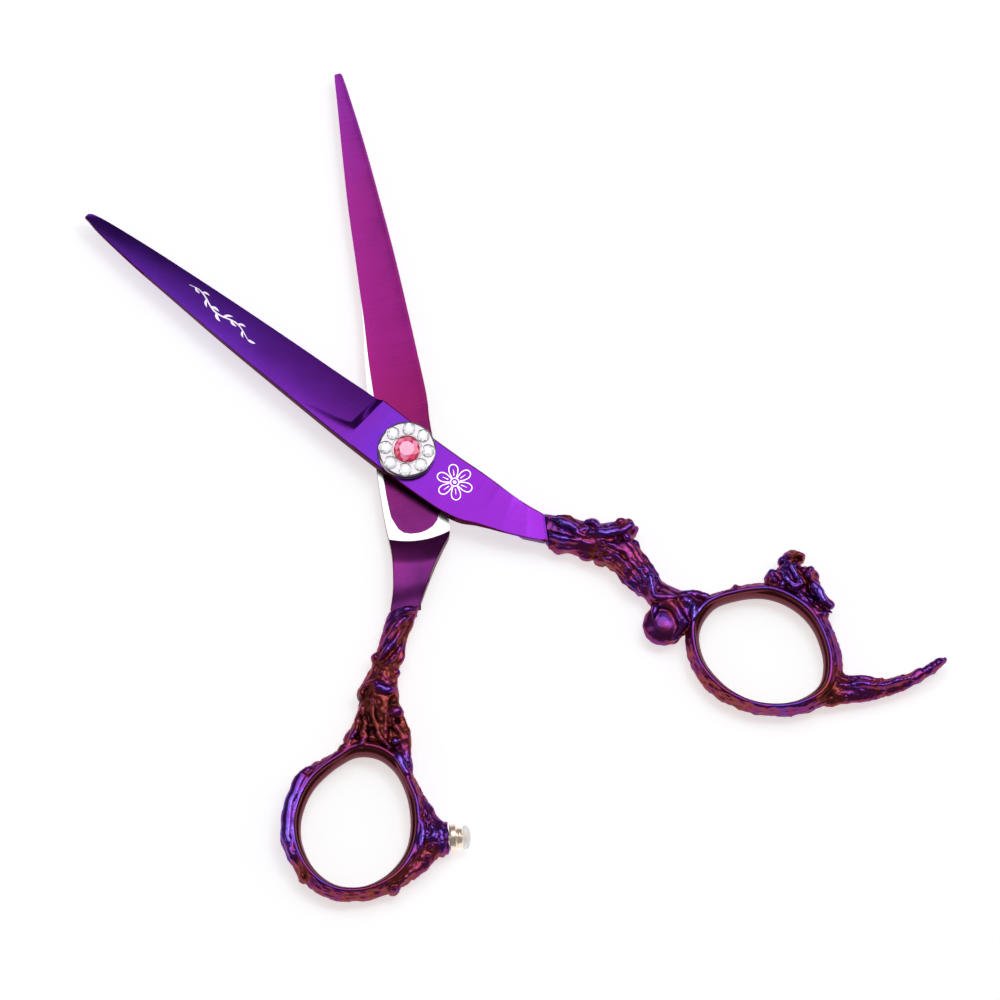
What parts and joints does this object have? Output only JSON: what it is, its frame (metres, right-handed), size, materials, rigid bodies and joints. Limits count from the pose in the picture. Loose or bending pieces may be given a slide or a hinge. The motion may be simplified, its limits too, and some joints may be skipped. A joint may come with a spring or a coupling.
{
  "type": "hairdressing shears",
  "caption": "Straight-bladed hairdressing shears, half open, with cast dragon-shaped handles, a curved finger rest, a bumper and a jewelled tension dial.",
  "frame": {"origin": "on the pivot axis, at the flat back face of the pivot bolt's head, the level that the shears lie on", "axes": "+Z along the pivot axis and up through the tension dial; +X along the finger blade's cutting edge, from its tip towards its ring; +Y to the side that the dragon head and the blade's cutting edge are on"},
  "size_m": [0.1673, 0.1238, 0.0082],
  "materials": {
    "violet_blade": "mirror-ground steel with a violet titanium coating",
    "magenta_blade": "hollow-ground steel with a magenta titanium coating and a bare ride line",
    "cast_handle": "cast steel relief, violet, magenta and copper titanium coating",
    "polished_steel": "polished",
    "white_nylon": "matt",
    "pink_crystal": "faceted, foil backed",
    "clear_crystal": "faceted, foil backed",
    "clear_silicone": "clear, smooth"
  },
  "bodies": {
    "finger_half": {"finger_blade": "violet_blade", "finger_handle": "cast_handle", "pivot_bush": "white_nylon"},
    "thumb_half": {"thumb_blade": "magenta_blade", "thumb_handle": "cast_handle", "pivot_bolt": "polished_steel", "slide_washer": "white_nylon", "spring_washer": "polished_steel", "bumper_base": "polished_steel", "bumper_dome": "clear_silicone"},
    "tension_dial": {"tension_dial": "polished_steel", "centre_stone": "pink_crystal", "clear_stone_1": "clear_crystal", "clear_stone_2": "clear_crystal", "clear_stone_3": "clear_crystal", "clear_stone_4": "clear_crystal", "clear_stone_5": "clear_crystal", "clear_stone_6": "clear_crystal", "clear_stone_7": "clear_crystal", "clear_stone_8": "clear_crystal"}
  },
  "joints": [
    {"name": "blade_pivot", "type": "hinge", "parent": "finger_half", "child": "thumb_half", "pos_m": [0, 0, 0.0025], "axis": [0, 0, 1], "range_deg": [-90, 41.5]},
    {"name": "dial_turn", "type": "hinge", "parent": "thumb_half", "child": "tension_dial", "pos_m": [0, 0, 0.0065], "axis": [0, 0, 1], "range_deg": [-90, 90]}
  ]
}
